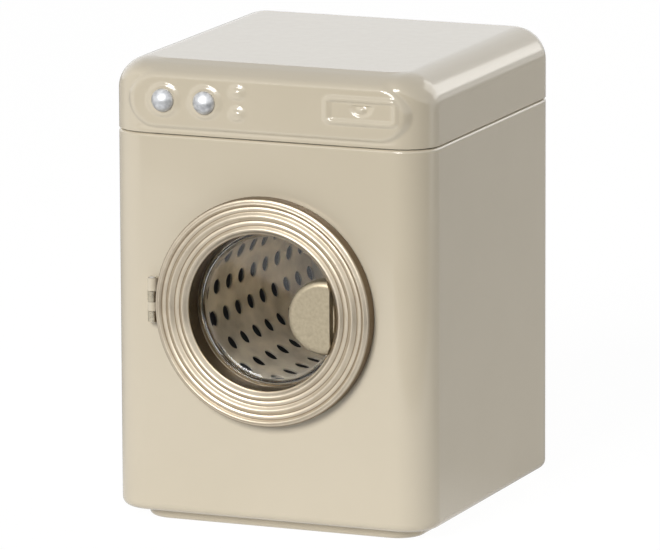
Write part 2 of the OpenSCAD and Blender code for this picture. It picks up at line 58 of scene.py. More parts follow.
def place_camera():
    back = Vector((
        math.sin(camera_azimuth) * math.cos(camera_elevation),
        -math.cos(camera_azimuth) * math.cos(camera_elevation),
        math.sin(camera_elevation),
    ))
    right = Vector((0.0, 0.0, 1.0)).cross(back).normalized()
    turn = Matrix.Rotation(camera_roll, 4, back)
    right = (turn @ right).normalized()
    up = back.cross(right)
    lens = bpy.data.cameras.new("camera")
    lens.lens = lens_length
    lens.sensor_width = film_width
    lens.clip_start = 0.05
    lens.clip_end = 50.0
    camera = bpy.data.objects.new("camera", lens)
    bpy.context.scene.collection.objects.link(camera)
    turned = Matrix((right, up, back)).transposed().to_4x4()
    camera.matrix_world = Matrix.Translation(camera_target + back * camera_distance) @ turned
    bpy.context.scene.camera = camera


place_camera()

# ---------------------------------------------------------------- floor and light
# A white table top whose front edge runs aslant before the machine, and a low
# white backdrop behind it, in a darker room. A soft box hangs in front, and a
# faint one behind.
floor_size = 6.0
floor_white = 0.86
floor_drop = 0.02 * mm
table_glow = 1.05
glow_share_seen = 0.92
glow_share_lit = 0.28
# painted shadow: the table's glow in reflections drops from the machine's front to its back
mirrored_in_front = 1.0
painted_shadow_mirrored_behind = 0.42
table_edge = Vector((-85.0, -341.0, 0.0)) * mm
table_edge_turn = math.radians(41.4)
backdrop_top = math.radians(19)
backdrop_side = Vector((-0.1, 0.99, 0.0))
backdrop_lit, room_lit = 2.4, 0.02
backdrop_mirrored, room_mirrored, room_floor_mirrored = 1.1, 1.15, 0.05
key_place = {"azimuth": -5, "elevation": 26, "distance": 2.4, "width": 1.0, "height": 1.0}
fill_place = {"azimuth": 145, "elevation": 25, "distance": 1.6, "width": 1.0, "height": 1.0}


def any_ray(nodes, links, *kinds, without=("Diffuse Depth",)):
    """1 for a ray of one of the given kinds that has had no bounce of the kinds without names."""
    path = nodes.new("ShaderNodeLightPath")
    total = path.outputs[kinds[0]]
    for kind in kinds[1:]:
        either = nodes.new("ShaderNodeMath")
        either.operation = "MAXIMUM"
        links.new(total, either.inputs[0])
        links.new(path.outputs[kind], either.inputs[1])
        total = either.outputs[0]
    for depth in without:
        none_yet = nodes.new("ShaderNodeMath")
        none_yet.operation = "LESS_THAN"
        none_yet.inputs[1].default_value = 0.5
        links.new(path.outputs[depth], none_yet.inputs[0])
        both = nodes.new("ShaderNodeMath")
        both.operation = "MULTIPLY"
        links.new(total, both.inputs[0])
        links.new(none_yet.outputs[0], both.inputs[1])
        total = both.outputs[0]
    return total


def straight_ray(nodes, links):
    """1 for a ray from the camera, and for one that has only passed through glass."""
    return any_ray(nodes, links, "Is Camera Ray", "Is Transmission Ray",
                   without=("Diffuse Depth", "Glossy Depth"))


def lay_floor():
    bpy.ops.object.select_all(action="DESELECT")
    bpy.ops.mesh.primitive_plane_add(size=floor_size, location=(0.0, 0.0, -floor_drop))
    floor = bpy.context.object
    floor.name = "studio_floor"
    bpy.ops.object.mode_set(mode="EDIT")
    bpy.ops.mesh.select_all(action="SELECT")
    past_edge = (math.sin(table_edge_turn), -math.cos(table_edge_turn), 0)
    bpy.ops.mesh.bisect(plane_co=table_edge, plane_no=past_edge, clear_outer=True)
    bpy.ops.object.mode_set(mode="OBJECT")
    material = bpy.data.materials.new("studio_floor")
    material.use_nodes = True
    nodes, links = material.node_tree.nodes, material.node_tree.links
    nodes.clear()
    out = nodes.new("ShaderNodeOutputMaterial")
    diffuse = nodes.new("ShaderNodeBsdfDiffuse")
    diffuse.inputs["Color"].default_value = (floor_white, floor_white, floor_white, 1)
    glow = nodes.new("ShaderNodeEmission")
    place = nodes.new("ShaderNodeTexCoord")
    depth = nodes.new("ShaderNodeSeparateXYZ")
    links.new(place.outputs["Object"], depth.inputs[0])
    # painted shadow: in reflections the table glows less behind the machine, standing in for the
    # machine's own shadow there
    mirrored = nodes.new("ShaderNodeMapRange")
    mirrored.inputs["From Min"].default_value = -60 * mm
    mirrored.inputs["From Max"].default_value = 40 * mm
    mirrored.inputs["To Min"].default_value = mirrored_in_front
    mirrored.inputs["To Max"].default_value = painted_shadow_mirrored_behind
    links.new(depth.outputs["Y"], mirrored.inputs["Value"])
    strength = nodes.new("ShaderNodeMix")
    strength.inputs["A"].default_value = table_glow
    links.new(any_ray(nodes, links, "Is Glossy Ray"), strength.inputs["Factor"])
    links.new(mirrored.outputs[0], strength.inputs["B"])
    straight = nodes.new("ShaderNodeMix")
    straight.inputs["B"].default_value = table_glow
    links.new(straight_ray(nodes, links), straight.inputs["Factor"])
    links.new(strength.outputs["Result"], straight.inputs["A"])
    links.new(straight.outputs["Result"], glow.inputs["Strength"])
    share = nodes.new("ShaderNodeMapRange")
    share.inputs["To Min"].default_value = glow_share_lit
    share.inputs["To Max"].default_value = glow_share_seen
    mix = nodes.new("ShaderNodeMixShader")
    seen = any_ray(nodes, links, "Is Camera Ray", "Is Glossy Ray", "Is Transmission Ray")
    links.new(seen, share.inputs["Value"])
    links.new(share.outputs[0], mix.inputs[0])
    links.new(diffuse.outputs[0], mix.inputs[1])
    links.new(glow.outputs[0], mix.inputs[2])
    links.new(mix.outputs[0], out.inputs[0])
    floor.data.materials.append(material)


def light_surroundings():
    """The camera sees a white world, also through glass. Other rays see the backdrop and the room."""
    world = bpy.data.worlds.new("studio")
    bpy.context.scene.world = world
    world.use_nodes = True
    nodes, links = world.node_tree.nodes, world.node_tree.links
    place = nodes.new("ShaderNodeTexCoord")
    height = nodes.new("ShaderNodeSeparateXYZ")
    links.new(place.outputs["Generated"], height.inputs[0])
    low = nodes.new("ShaderNodeMapRange")
    low.inputs["From Min"].default_value = math.sin(backdrop_top) + 0.02
    low.inputs["From Max"].default_value = math.sin(backdrop_top) - 0.02
    links.new(height.outputs["Z"], low.inputs["Value"])
    toward = nodes.new("ShaderNodeVectorMath")
    toward.operation = "DOT_PRODUCT"
    toward.inputs[1].default_value = backdrop_side
    links.new(place.outputs["Generated"], toward.inputs[0])
    behind = nodes.new("ShaderNodeMapRange")
    behind.inputs["From Min"].default_value = -0.05
    behind.inputs["From Max"].default_value = 0.25
    links.new(toward.outputs["Value"], behind.inputs["Value"])
    backdrop = nodes.new("ShaderNodeMath")
    backdrop.operation = "MULTIPLY"
    links.new(low.outputs[0], backdrop.inputs[0])
    links.new(behind.outputs[0], backdrop.inputs[1])

    above = nodes.new("ShaderNodeMapRange")
    above.inputs["From Min"].default_value = -0.04
    above.inputs["From Max"].default_value = 0.04
    links.new(height.outputs["Z"], above.inputs["Value"])

    def mix(chooser, other, chosen):
        choice = nodes.new("ShaderNodeMix")
        links.new(chooser, choice.inputs["Factor"])
        for level, socket in ((other, choice.inputs["A"]), (chosen, choice.inputs["B"])):
            if isinstance(level, float):
                socket.default_value = level
            else:
                links.new(level, socket)
        return choice.outputs["Result"]

    lit = mix(backdrop.outputs[0], room_lit, backdrop_lit)
    room = mix(above.outputs[0], room_floor_mirrored, room_mirrored)
    mirrored = mix(backdrop.outputs[0], room, backdrop_mirrored)
    strength = mix(any_ray(nodes, links, "Is Glossy Ray", "Is Transmission Ray"), lit, mirrored)
    strength = mix(straight_ray(nodes, links), strength, 1.0)
    background = nodes["Background"]
    background.inputs["Color"].default_value = (1, 1, 1, 1)
    links.new(strength, background.inputs["Strength"])


def hang_soft_box(name, radiance, colour, azimuth, elevation, distance, width, height):
    """A rectangular lamp that faces the machine, seen from it in the given direction."""
    azimuth, elevation = math.radians(azimuth), math.radians(elevation)
    data = bpy.data.lights.new(name, "AREA")
    data.shape = "RECTANGLE"
    data.size = width
    data.size_y = height
    data.energy = radiance * math.pi * width * height
    data.color = colour
    lamp = bpy.data.objects.new(name, data)
    bpy.context.scene.collection.objects.link(lamp)
    back = Vector((
        math.sin(azimuth) * math.cos(elevation),
        -math.cos(azimuth) * math.cos(elevation),
        math.sin(elevation),
    ))
    lamp.location = Vector((0.0, 0.0, 55 * mm)) + back * distance
    lamp.rotation_mode = "QUATERNION"
    lamp.rotation_quaternion = (-back).to_track_quat("-Z", "Y")
    lamp.visible_camera = False


lay_floor()
light_surroundings()
hang_soft_box("key_box", 15.4, (1.0, 0.99, 0.97), **key_place)
hang_soft_box("back_fill", 1.8, (1.0, 0.98, 0.94), **fill_place)
bpy.context.scene.view_settings.view_transform = "Standard"

# ---------------------------------------------------------------- cabinet
# Deep-drawn tinplate with turned-in edges, and a collar drawn inwards round the
# door opening. It is stove-enamelled in cream; its inside faces get a near-black painted shade.
sheet = 0.6 * mm
upright_r = 8.5 * mm
foot_edge_r = 2.0 * mm
rim_edge_r = 0.8 * mm
plinth_inset = 5.2 * mm
opening_r = 20.2 * mm
drawn_edge_r = 1.2 * mm
opening_depth = 3.4 * mm
cabinet_low, cabinet_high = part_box("cabinet")
y_face = cabinet_low.y
door_z = 53.0 * mm
rim_lip = 0.1 * mm
box_middle = Vector((0.0, 0.0, door_z))
round_steps = 128
tiny = 0.01 * mm


def deselect_objects():
    for thing in bpy.context.selected_objects:
        thing.select_set(False)


def make_active(piece):
    deselect_objects()
    piece.select_set(True)
    bpy.context.view_layer.objects.active = piece


def apply_modifier(piece, kind, **settings):
    """Adds one modifier with its settings, and applies it."""
    make_active(piece)
    modifier = piece.modifiers.new(kind.lower(), kind)
    for name, value in settings.items():
        setattr(modifier, name, value)
    bpy.ops.object.modifier_apply(modifier=modifier.name)


def select_in_mesh(piece, kind, wanted):
    """In edit mode: selects the verts, edges or faces for which wanted is true."""
    bpy.ops.mesh.select_mode(type={"verts": "VERT", "edges": "EDGE", "faces": "FACE"}[kind])
    bpy.ops.mesh.select_all(action="DESELECT")
    shape = bmesh.from_edit_mesh(piece.data)
    for item in getattr(shape, kind):
        if wanted(item):
            item.select_set(True)
    bmesh.update_edit_mesh(piece.data)


def start_box(name, low, high):
    """A cube stretched to its corners in edit mode. It leaves edit mode on."""
    deselect_objects()
    bpy.ops.mesh.primitive_cube_add(size=1)
    piece = bpy.context.object
    piece.name = name
    piece.data.name = name
    bpy.ops.object.mode_set(mode="EDIT")
    bpy.ops.mesh.select_all(action="SELECT")
    size = high - low
    bpy.ops.transform.resize(value=size, center_override=(0, 0, 0))
    bpy.ops.transform.translate(value=(low + high) / 2)
    return piece


def is_upright(edge):
    a, b = edge.verts
    return abs(a.co.x - b.co.x) < tiny and abs(a.co.y - b.co.y) < tiny and abs(a.co.z - b.co.z) > tiny


def lies_at(height):
    return lambda item: all(abs(v.co.z - height) < tiny for v in item.verts)


def round_edges(piece, wanted, radius, steps):
    select_in_mesh(piece, "edges", wanted)
    bpy.ops.mesh.bevel(offset=radius, offset_type="OFFSET", segments=steps, profile=0.5,
                       affect="EDGES", clamp_overlap=False)


def turn_profile(name, points, centre, steps=round_steps, closed=True):
    """Draws a profile of (radius, distance in front of centre) points and spins it about -Y."""
    deselect_objects()
    bpy.ops.mesh.primitive_plane_add(size=2 * mm)
    piece = bpy.context.object
    piece.name = name
    piece.data.name = name
    bpy.ops.object.mode_set(mode="EDIT")
    bpy.ops.mesh.select_mode(type="VERT")
    bpy.ops.mesh.select_all(action="SELECT")
    bpy.ops.mesh.merge(type="CENTER")
    places = [centre + Vector((r, -out, 0.0)) for r, out in points]
    if closed:
        places.append(places[0])
    bpy.ops.transform.translate(value=places[0])
    for before, after in zip(places, places[1:]):
        bpy.ops.mesh.extrude_region_move(TRANSFORM_OT_translate={"value": after - before})
    bpy.ops.mesh.select_all(action="SELECT")
    bpy.ops.mesh.remove_doubles(threshold=tiny)
    bpy.ops.mesh.spin(steps=steps, angle=2 * math.pi, center=centre, axis=(0, -1, 0))
    bpy.ops.mesh.select_all(action="SELECT")
    bpy.ops.mesh.remove_doubles(threshold=tiny / 4)
    bpy.ops.mesh.normals_make_consistent(inside=False)
    bpy.ops.object.mode_set(mode="OBJECT")
    return piece


def smooth(piece, angle=35.0):
    make_active(piece)
    bpy.ops.object.shade_smooth_by_angle(angle=math.radians(angle))
    apply_modifier(piece, "WEIGHTED_NORMAL", keep_sharp=True, weight=60)


def cut_with(piece, cutter, operation="DIFFERENCE"):
    """Boolean of the piece with a cutter, which is then thrown away."""
    apply_modifier(piece, "BOOLEAN", object=cutter, operation=operation, solver="EXACT")
    bpy.data.objects.remove(cutter, do_unlink=True)


def round_cutter(radius, centre, depth, axis="Y", steps=round_steps):
    deselect_objects()
    turned = {"Y": (math.pi / 2, 0, 0), "Z": (0, 0, 0)}[axis]
    bpy.ops.mesh.primitive_cylinder_add(radius=radius, depth=depth, vertices=steps, location=centre,
                                        rotation=turned)
    bpy.ops.object.transform_apply(location=True, rotation=True, scale=True)
    return bpy.context.object


def join(first, *others):
    deselect_objects()
    for thing in (first, *others):
        thing.select_set(True)
    bpy.context.view_layer.objects.active = first
    bpy.ops.object.join()
    return first


def paint(piece, material):
    piece.data.materials.clear()
    piece.data.materials.append(material)


def make_worked_surface():
    """Shared group: a colour that wanders between two tones, with a wandering gloss and a grain."""
    group = bpy.data.node_groups.new("worked_surface", "ShaderNodeTree")
    face = group.interface
    for name, kind in (("Tone", "NodeSocketColor"), ("Other Tone", "NodeSocketColor"),
                       ("Patch Scale", "NodeSocketFloat"), ("Grain Scale", "NodeSocketFloat"),
                       ("Gloss Low", "NodeSocketFloat"), ("Gloss High", "NodeSocketFloat"),
                       ("Stretch", "NodeSocketVector")):
        face.new_socket(name=name, in_out="INPUT", socket_type=kind)
    for name, kind in (("Color", "NodeSocketColor"), ("Roughness", "NodeSocketFloat"),
                       ("Height", "NodeSocketFloat")):
        face.new_socket(name=name, in_out="OUTPUT", socket_type=kind)
    nodes, links = group.nodes, group.links
    given = nodes.new("NodeGroupInput")
    result = nodes.new("NodeGroupOutput")
    place = nodes.new("ShaderNodeTexCoord")
    stretched = nodes.new("ShaderNodeVectorMath")
    stretched.operation = "MULTIPLY"
    links.new(place.outputs["Object"], stretched.inputs[0])
    links.new(given.outputs["Stretch"], stretched.inputs[1])
    patches = nodes.new("ShaderNodeTexNoise")
    patches.inputs["Detail"].default_value = 3
    grain = nodes.new("ShaderNodeTexNoise")
    grain.inputs["Detail"].default_value = 2
    for noise, scale in ((patches, "Patch Scale"), (grain, "Grain Scale")):
        links.new(stretched.outputs[0], noise.inputs["Vector"])
        links.new(given.outputs[scale], noise.inputs["Scale"])
    spread = nodes.new("ShaderNodeMapRange")
    spread.inputs["From Min"].default_value = 0.3
    spread.inputs["From Max"].default_value = 0.7
    links.new(patches.outputs["Fac"], spread.inputs["Value"])
    tone = nodes.new("ShaderNodeMix")
    tone.data_type = "RGBA"
    links.new(spread.outputs[0], tone.inputs["Factor"])
    links.new(given.outputs["Tone"], tone.inputs["A"])
    links.new(given.outputs["Other Tone"], tone.inputs["B"])
    gloss = nodes.new("ShaderNodeMapRange")
    gloss.inputs["From Min"].default_value = 0.3
    gloss.inputs["From Max"].default_value = 0.7
    links.new(grain.outputs["Fac"], gloss.inputs["Value"])
    links.new(given.outputs["Gloss Low"], gloss.inputs["To Min"])
    links.new(given.outputs["Gloss High"], gloss.inputs["To Max"])
    links.new(tone.outputs["Result"], result.inputs["Color"])
    links.new(gloss.outputs[0], result.inputs["Roughness"])
    links.new(grain.outputs["Fac"], result.inputs["Height"])
    return group


worked_surface = make_worked_surface()


def finish_material(name, tone, other_tone, patch_scale, grain_scale, gloss, bump, bump_depth,
                    stretch=(1, 1, 1), **plain):
    """A Principled material on the shared surface group. plain goes on the shader's own sockets."""
    material = bpy.data.materials.new(name)
    material.use_nodes = True
    nodes, links = material.node_tree.nodes, material.node_tree.links
    shader = nodes["Principled BSDF"]
    surface = nodes.new("ShaderNodeGroup")
    surface.node_tree = worked_surface
    surface.inputs["Tone"].default_value = (*tone, 1)
    surface.inputs["Other Tone"].default_value = (*other_tone, 1)
    surface.inputs["Patch Scale"].default_value = patch_scale
    surface.inputs["Grain Scale"].default_value = grain_scale
    surface.inputs["Gloss Low"].default_value = gloss[0]
    surface.inputs["Gloss High"].default_value = gloss[1]
    surface.inputs["Stretch"].default_value = stretch
    relief = nodes.new("ShaderNodeBump")
    relief.inputs["Strength"].default_value = bump
    relief.inputs["Distance"].default_value = bump_depth
    links.new(surface.outputs["Color"], shader.inputs["Base Color"])
    links.new(surface.outputs["Roughness"], shader.inputs["Roughness"])
    links.new(surface.outputs["Height"], relief.inputs["Height"])
    links.new(relief.outputs["Normal"], shader.inputs["Normal"])
    for socket, value in plain.items():
        shader.inputs[socket.replace("_", " ")].default_value = value
    return material


enamel = finish_material(
    "cream_enamel", tone=(0.635, 0.566, 0.440), other_tone=(0.65, 0.58, 0.454), patch_scale=45,
    grain_scale=420, gloss=(0.14, 0.19), bump=0.04, bump_depth=0.03 * mm,
    Coat_Weight=0.4, Coat_Roughness=0.05)
# painted shade: a near-black colour for the cabinet's inside faces, where the drum's holes look into
# shade
inside_shade_paint = finish_material(
    "painted_inside_shade", tone=(0.055, 0.048, 0.040), other_tone=(0.04, 0.035, 0.03), patch_scale=200,
    grain_scale=900, gloss=(0.55, 0.7), bump=0.1, bump_depth=0.02 * mm)


def paint_inside_shade(shell, middle):
    """Gives the faces that look towards the middle of the sheet-metal box a near-black painted shade, so
    the drum's holes look dark.
    """
    shell.data.materials.append(inside_shade_paint)
    for face in shell.data.polygons:
        if face.normal.dot(middle - face.center) > 0.0:
            face.material_index = 1


def make_cabinet():
    high = Vector((cabinet_high.x, -cabinet_low.y, cabinet_high.z))
    shell = start_box("cabinet_shell", cabinet_low, high)
    round_edges(shell, is_upright, upright_r, 20)
    round_edges(shell, lies_at(cabinet_low.z), foot_edge_r, 8)
    round_edges(shell, lies_at(cabinet_high.z), rim_edge_r, 5)
    # the turned-in flanges, and the open top and bottom inside them
    select_in_mesh(shell, "faces", lies_at(cabinet_high.z))
    bpy.ops.mesh.inset(thickness=rim_lip)
    bpy.ops.mesh.delete(type="FACE")
    select_in_mesh(shell, "faces", lies_at(cabinet_low.z))
    bpy.ops.mesh.inset(thickness=plinth_inset - foot_edge_r)
    bpy.ops.mesh.delete(type="FACE")
    bpy.ops.object.mode_set(mode="OBJECT")
    apply_modifier(shell, "SOLIDIFY", thickness=sheet, offset=-1.0, use_even_offset=True)
    edge_r = opening_r + drawn_edge_r
    centre = Vector((0, y_face, door_z))
    cut_with(shell, round_cutter(edge_r, centre, 6 * mm))
    # the drawn collar, welded to the edge of that hole
    bend = [math.radians(a) for a in range(0, 91, 15)]
    inner_r = drawn_edge_r - sheet
    outer = [(edge_r - drawn_edge_r * math.sin(a), -drawn_edge_r * (1 - math.cos(a))) for a in bend]
    inner = [(edge_r - inner_r * math.sin(a), -drawn_edge_r + inner_r * math.cos(a)) for a in bend]
    collar = turn_profile("drawn_collar", [*outer, (opening_r, -opening_depth),
                          (opening_r + sheet, -opening_depth), *reversed(inner)], centre)
    join(shell, collar)
    smooth(shell)
    paint(shell, enamel)
    # the inside faces get the near-black painted shade
    paint_inside_shade(shell, box_middle)
    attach(shell, "cabinet")
    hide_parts("cabinet")


make_cabinet()

# ---------------------------------------------------------------- plinth
# A shallow pan pressed from the same sheet. It drops through the cabinet's
# bottom from the inside and is spot-welded there by its flange.
plinth_low, plinth_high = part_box("plinth")
plinth_corner_r = 6.8 * mm
plinth_foot_r = 1.2 * mm
flange_width = 2.0 * mm


def make_plinth():
    low = Vector((plinth_low.x + flange_width, plinth_low.y + flange_width, plinth_low.z))
    high = Vector((plinth_high.x - flange_width, plinth_high.y - flange_width, plinth_high.z - sheet))
    pan = start_box("plinth_pan", low, high)
    round_edges(pan, is_upright, plinth_corner_r, 12)
    round_edges(pan, lies_at(low.z), plinth_foot_r, 8)
    # the flange: the top is opened, and a strip is drawn outwards from its rim
    select_in_mesh(pan, "faces", lies_at(high.z))
    bpy.ops.mesh.delete(type="ONLY_FACE")
    select_in_mesh(pan, "edges", lies_at(high.z))
    bpy.ops.mesh.extrude_region_move(TRANSFORM_OT_translate={"value": (0, 0, 0)})
    spread = Vector(((high.x + flange_width) / high.x, (high.y + flange_width) / high.y, 1))
    bpy.ops.transform.resize(value=spread, center_override=(0, 0, high.z))
    bpy.ops.object.mode_set(mode="OBJECT")
    apply_modifier(pan, "SOLIDIFY", thickness=sheet, offset=-1.0, use_even_offset=True)
    smooth(pan)
    paint(pan, enamel)
    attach(pan, "cabinet")
    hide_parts("plinth")


make_plinth()

# ---------------------------------------------------------------- lid
# One pressing: a shallow box with a soft top edge. The control panel, the knob
# bosses, two buttons and the soap drawer are stamped in its front.
lid_low, lid_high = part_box("lid")
lid_edge_r = 7.9 * mm
front_roll = 3.6 * mm
panel_out = 0.8 * mm
panel_middle = Vector((0.4, 100.85)) * mm
panel_half = Vector((33.3, 5.45)) * mm
panel_corner_r = 5.5 * mm
end_bevel = Vector((1.4, 0.8)) * mm
top_bevel = Vector((2.1, 2.05)) * mm
foot_bevel = Vector((0.9, 0.5)) * mm
panel_fillet = 0.4 * mm
foot_flare = 0.32 * mm
lid_face = -41.7 * mm
knob_places = (-25.4 * mm, -15.0 * mm)
knob_z = 101.2 * mm
knob_hole_r = 1.26 * mm
boss_r = 4.3 * mm
boss_slope = 0.9 * mm
boss_out = 0.4 * mm
button_x = -6.9 * mm
button_heights = (104.0 * mm, 99.0 * mm)
button_r, button_slope, button_out = 1.25 * mm, 0.85 * mm, 0.38 * mm
nib_r, nib_slope, nib_out = 0.15 * mm, 0.6 * mm, 0.32 * mm
drawer_middle = Vector((24.05, 101.5)) * mm
drawer_half = Vector((9.45, 3.6)) * mm
drawer_corner_r = 2.0 * mm
frame_slope, frame_out = 0.75 * mm, 0.48 * mm
recess_inset, recess_slope, recess_depth = 1.75 * mm, 0.6 * mm, 0.5 * mm
pull_up = 1.2 * mm
pull_room = 5 * mm
pull_r, pull_slope, pull_depth = 2.0 * mm, 0.65 * mm, 0.42 * mm
pull_widen, pull_flat_top = 1.12, 1.6 * mm
grip_down, grip_r, grip_slope, grip_out = 0.95 * mm, 0.25 * mm, 0.85 * mm, 0.62 * mm
wall_rows = 52
front_columns = 250


def soft_step(edge, width, value):
    """1 below edge, 0 above edge + width, and smooth between."""
    t = min(max((value - edge) / width, 0.0), 1.0)
    return 1.0 - t * t * (3.0 - 2.0 * t)


def past_outline(x, z, middle, half, corner_r):
    """How far a point lies outside a rounded rectangle; negative inside it."""
    dx = abs(x - middle.x) - half.x + corner_r
    dz = abs(z - middle.y) - half.y + corner_r
    outside = math.hypot(max(dx, 0.0), max(dz, 0.0))
    return outside + min(max(dx, dz), 0.0) - corner_r


def stamped_height(x, z):
    """Height of the small stampings above the panel's flat face."""
    height = 0.0
    for knob_x in knob_places:
        away = math.hypot(x - knob_x, z - knob_z)
        height += boss_out * soft_step(boss_r - boss_slope, boss_slope, away)
    for button_z in button_heights:
        away = math.hypot(x - button_x, z - button_z)
        height += button_out * soft_step(button_r, button_slope, away)
        height += nib_out * soft_step(nib_r, nib_slope, away)
    beyond = past_outline(x, z, drawer_middle, drawer_half, drawer_corner_r)
    height += frame_out * soft_step(-frame_slope, frame_slope, beyond)
    height -= recess_depth * soft_step(-recess_inset, recess_slope, beyond)
    # the drawer's finger pull: a half-round dimple with a small raised grip
    pull_x, pull_z = x - drawer_middle.x, z - drawer_middle.y - pull_up
    if abs(pull_x) < pull_room and abs(pull_z) < pull_room:
        half_round = max(math.hypot(pull_x / pull_widen, pull_z), pull_z * 5 + pull_flat_top)
        height -= pull_depth * soft_step(pull_r, pull_slope, half_round)
        height += grip_out * soft_step(grip_r, grip_slope, math.hypot(pull_x, pull_z + grip_down))
    return height


def panel_fall(z, beyond):
    """How far the pressing falls away from the panel's flat, by the distance outside it.

    The bevel's width and depth are largest along the top and smallest along the foot.
    """
    if beyond <= 0.0:
        return 0.0
    lift = max(min((z - panel_middle.y) / (panel_half.y + 1 * mm), 1.0), -1.0)
    width, depth = end_bevel.lerp(top_bevel if lift > 0.0 else foot_bevel, lift ** 2)
    return depth * (beyond / width) ** 2


def flatten_front_roll(shell):
    """Draws the rolled top edge flatter along the front, and the wall under it up to meet it."""
    centre_x = lid_high.x - upright_r
    centre_y = lid_face + upright_r
    tall = lid_high.z - lid_low.z
    for vertex in shell.data.vertices:
        x, y, z = vertex.co
        ahead = centre_y - y
        if ahead <= 0.0:
            continue
        facing = ahead / math.hypot(ahead, max(abs(x) - centre_x, 0.0))
        roll = lid_edge_r + (front_roll - lid_edge_r) * facing ** 3
        drop = lid_high.z - z
        if drop < lid_edge_r:
            drop *= roll / lid_edge_r
        else:
            drop = roll + (drop - lid_edge_r) * (tall - roll) / (tall - lid_edge_r)
        vertex.co.z = lid_high.z - drop


def stamp_front(shell):
    """Presses the panel and its details forwards out of the lid's front, and flares its foot."""
    for vertex in shell.data.vertices:
        x, y, z = vertex.co
        if y > lid_face + 9 * mm or abs(x) > 39 * mm:
            continue
        ends = soft_step(27 * mm, 8 * mm, abs(x))
        foot = soft_step(lid_low.z + 0.6 * mm, 1.2 * mm, z)
        lid_y = y - foot_flare * foot * ends
        beyond = past_outline(x, z, panel_middle, panel_half, panel_corner_r)
        panel_y = lid_face - panel_out + panel_fall(z, beyond)
        if beyond < 0.0:
            panel_y -= stamped_height(x, z)
        # the nearer of the two surfaces, with a small fillet where they meet
        gap = (lid_y - panel_y) / panel_fillet
        share = min(max(0.5 + 0.5 * gap, 0.0), 1.0)
        vertex.co.y = lid_y + (panel_y - lid_y) * share - panel_fillet * share * (1 - share) * 0.5


def crosses_front(edge):
    """An edge that runs level across the whole front, between its two rounded corners."""
    a, b = (v.co for v in edge.verts)
    in_front = max(a.y, b.y) < lid_face + upright_r - 0.3 * mm
    full_width = abs(a.x + b.x) < tiny and abs(a.x) > lid_high.x - upright_r - tiny
    return in_front and full_width and abs(a.z - b.z) < tiny


def make_lid():
    low = Vector((lid_low.x, lid_face, lid_low.z))
    high = Vector((lid_high.x, -lid_face, lid_high.z))
    shell = start_box("lid_shell", low, high)
    round_edges(shell, is_upright, upright_r, 30)
    round_edges(shell, lies_at(high.z), lid_edge_r, 44)
    select_in_mesh(shell, "faces", lies_at(low.z))
    bpy.ops.mesh.delete(type="FACE")
    # rows round the wall, then columns across the front
    select_in_mesh(shell, "edges", lambda e: is_upright(e) and e.calc_length() > 5 * mm)
    bpy.ops.mesh.subdivide(number_cuts=wall_rows)
    select_in_mesh(shell, "edges", crosses_front)
    bpy.ops.mesh.subdivide(number_cuts=front_columns)
    bpy.ops.object.mode_set(mode="OBJECT")
    flatten_front_roll(shell)
    stamp_front(shell)
    apply_modifier(shell, "SOLIDIFY", thickness=sheet, offset=-1.0, use_even_offset=False)
    for knob_x in knob_places:
        cut_with(shell, round_cutter(knob_hole_r, Vector((knob_x, y_face, knob_z)), 8 * mm, steps=32))
    smooth(shell, 50)
    paint(shell, enamel)
    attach(shell, "lid")
    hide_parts("lid")


make_lid()

# ---------------------------------------------------------------- lid collar
# A joggled band of bare tinned sheet, spot-welded inside the cabinet's rim.
# The lid sleeves over it, and its bead is the dark line of the seam; the band is coloured darker than tin
# there as painted shade.
tinned = finish_material(
    "tinned_sheet", tone=(0.42, 0.41, 0.39), other_tone=(0.33, 0.32, 0.30), patch_scale=180,
    grain_scale=900, gloss=(0.32, 0.5), bump=0.15, bump_depth=0.05 * mm, Metallic=0.9)
# painted shade: a darker band colour standing in for the shade inside the seam
seam_shade = finish_material(
    "painted_seam_band", tone=(0.34, 0.31, 0.25), other_tone=(0.28, 0.25, 0.20), patch_scale=180,
    grain_scale=900, gloss=(0.45, 0.6), bump=0.15, bump_depth=0.05 * mm, Metallic=0.3)


def refinish(node, material):
    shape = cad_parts[node].data
    shape.materials.clear()
    shape.materials.append(material)


refinish("collar", seam_shade)

# ---------------------------------------------------------------- knobs
# Two solid nickel-plated domes, each on a shank through the lid. A light
# hammering leaves soft flats that scatter the highlights.
nickel = finish_material(
    "hammered_nickel", tone=(0.70, 0.71, 0.725), other_tone=(0.42, 0.43, 0.45), patch_scale=900,
    grain_scale=1100, gloss=(0.40, 0.52), bump=0.22, bump_depth=0.06 * mm, Metallic=1.0)


knob_r, knob_rise, knob_skirt, knob_gap = 2.72 * mm, 1.75 * mm, 0.35 * mm, 0.06 * mm
dome_steps = 12
shank_r, clip_groove_r = 1.2 * mm, 0.95 * mm
clip_groove_start, clip_groove_end = 0.9 * mm, 0.4 * mm


def make_knob(side, knob_x):
    low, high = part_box("knob_" + side)
    base = Vector((knob_x, y_face - panel_out - boss_out, knob_z))
    ball = (knob_r ** 2 + knob_rise ** 2) / (2 * knob_rise)
    span = math.asin(knob_r / ball)
    angles = [span * i / dome_steps for i in range(dome_steps + 1)]
    dome = [(ball * math.sin(a), knob_skirt + knob_rise - ball * (1 - math.cos(a))) for a in angles]
    shank_end = base.y - high.y
    shank = [(knob_r, knob_gap), (shank_r, knob_gap), (shank_r, shank_end + clip_groove_start),
             (clip_groove_r, shank_end + clip_groove_start), (clip_groove_r, shank_end + clip_groove_end),
             (shank_r, shank_end + clip_groove_end), (shank_r, shank_end), (0, shank_end)]
    knob = turn_profile("knob_" + side + "_dome", dome + shank, base, steps=56, closed=False)
    smooth(knob, 40)
    paint(knob, nickel)
    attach(knob, "knob_" + side)
    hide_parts("knob_" + side)


make_knob("left", knob_places[0])
make_knob("right", knob_places[1])
refinish("knob_clip_left", tinned)
refinish("knob_clip_right", tinned)

